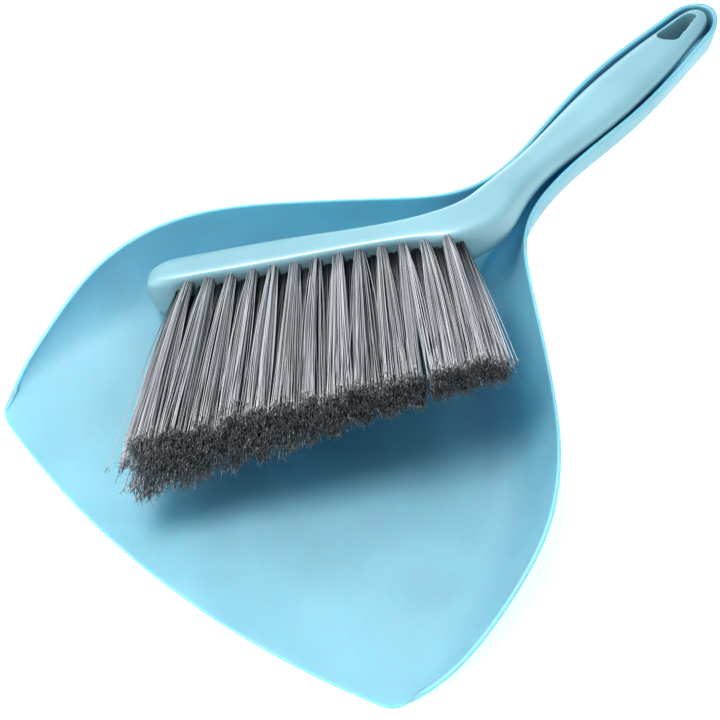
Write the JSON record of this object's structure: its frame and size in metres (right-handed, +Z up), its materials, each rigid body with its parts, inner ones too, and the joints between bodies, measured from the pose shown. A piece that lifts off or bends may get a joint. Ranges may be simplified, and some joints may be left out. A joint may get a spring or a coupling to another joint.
{
  "type": "dustpan and brush",
  "caption": "Leaf-shaped one-piece dustpan with an open channel handle, and a bent hand brush with splayed bristle tufts nested in it.",
  "frame": {"origin": "on the flat underside of the scoop, in the dustpan's plane of symmetry, 70 mm behind the lip's corners", "axes": "+Y from the lip to the tip of the handle, +X to the right, +Z up"},
  "size_m": [0.2206, 0.3345, 0.07],
  "materials": {
    "pan_plastic": "satin moulded polypropylene, light aqua blue",
    "brush_plastic": "satin moulded polypropylene, light aqua blue",
    "anchor_wire": "flat drawn wire",
    "bristle": "grey extruded filament with split, fuzzy tips"
  },
  "bodies": {
    "dustpan": {"dustpan": "pan_plastic"},
    "brush": {"brush_body": "brush_plastic", "tuft_anchors": "anchor_wire", "tuft_1_01": "bristle", "tuft_1_02": "bristle", "tuft_1_03": "bristle", "tuft_1_04": "bristle", "tuft_1_05": "bristle", "tuft_1_06": "bristle", "tuft_1_07": "bristle", "tuft_1_08": "bristle", "tuft_1_09": "bristle", "tuft_1_10": "bristle", "tuft_1_11": "bristle", "tuft_1_12": "bristle", "tuft_1_13": "bristle", "tuft_1_14": "bristle", "tuft_2_01": "bristle", "tuft_2_02": "bristle", "tuft_2_03": "bristle", "tuft_2_04": "bristle", "tuft_2_05": "bristle", "tuft_2_06": "bristle", "tuft_2_07": "bristle", "tuft_2_08": "bristle", "tuft_2_09": "bristle", "tuft_2_10": "bristle", "tuft_2_11": "bristle", "tuft_2_12": "bristle", "tuft_2_13": "bristle", "tuft_3_01": "bristle", "tuft_3_02": "bristle", "tuft_3_03": "bristle", "tuft_3_04": "bristle", "tuft_3_05": "bristle", "tuft_3_06": "bristle", "tuft_3_07": "bristle", "tuft_3_08": "bristle", "tuft_3_09": "bristle", "tuft_3_10": "bristle", "tuft_3_11": "bristle", "tuft_3_12": "bristle", "tuft_3_13": "bristle", "tuft_3_14": "bristle", "tuft_4_01": "bristle", "tuft_4_02": "bristle", "tuft_4_03": "bristle", "tuft_4_04": "bristle", "tuft_4_05": "bristle", "tuft_4_06": "bristle", "tuft_4_07": "bristle", "tuft_4_08": "bristle", "tuft_4_09": "bristle", "tuft_4_10": "bristle", "tuft_4_11": "bristle", "tuft_4_12": "bristle", "tuft_4_13": "bristle"}
  },
  "joints": [
    {"name": "brush_lift", "type": "slide", "parent": "dustpan", "child": "brush", "axis": [0, 0, 1], "range_m": [0, 0.12]}
  ]
}
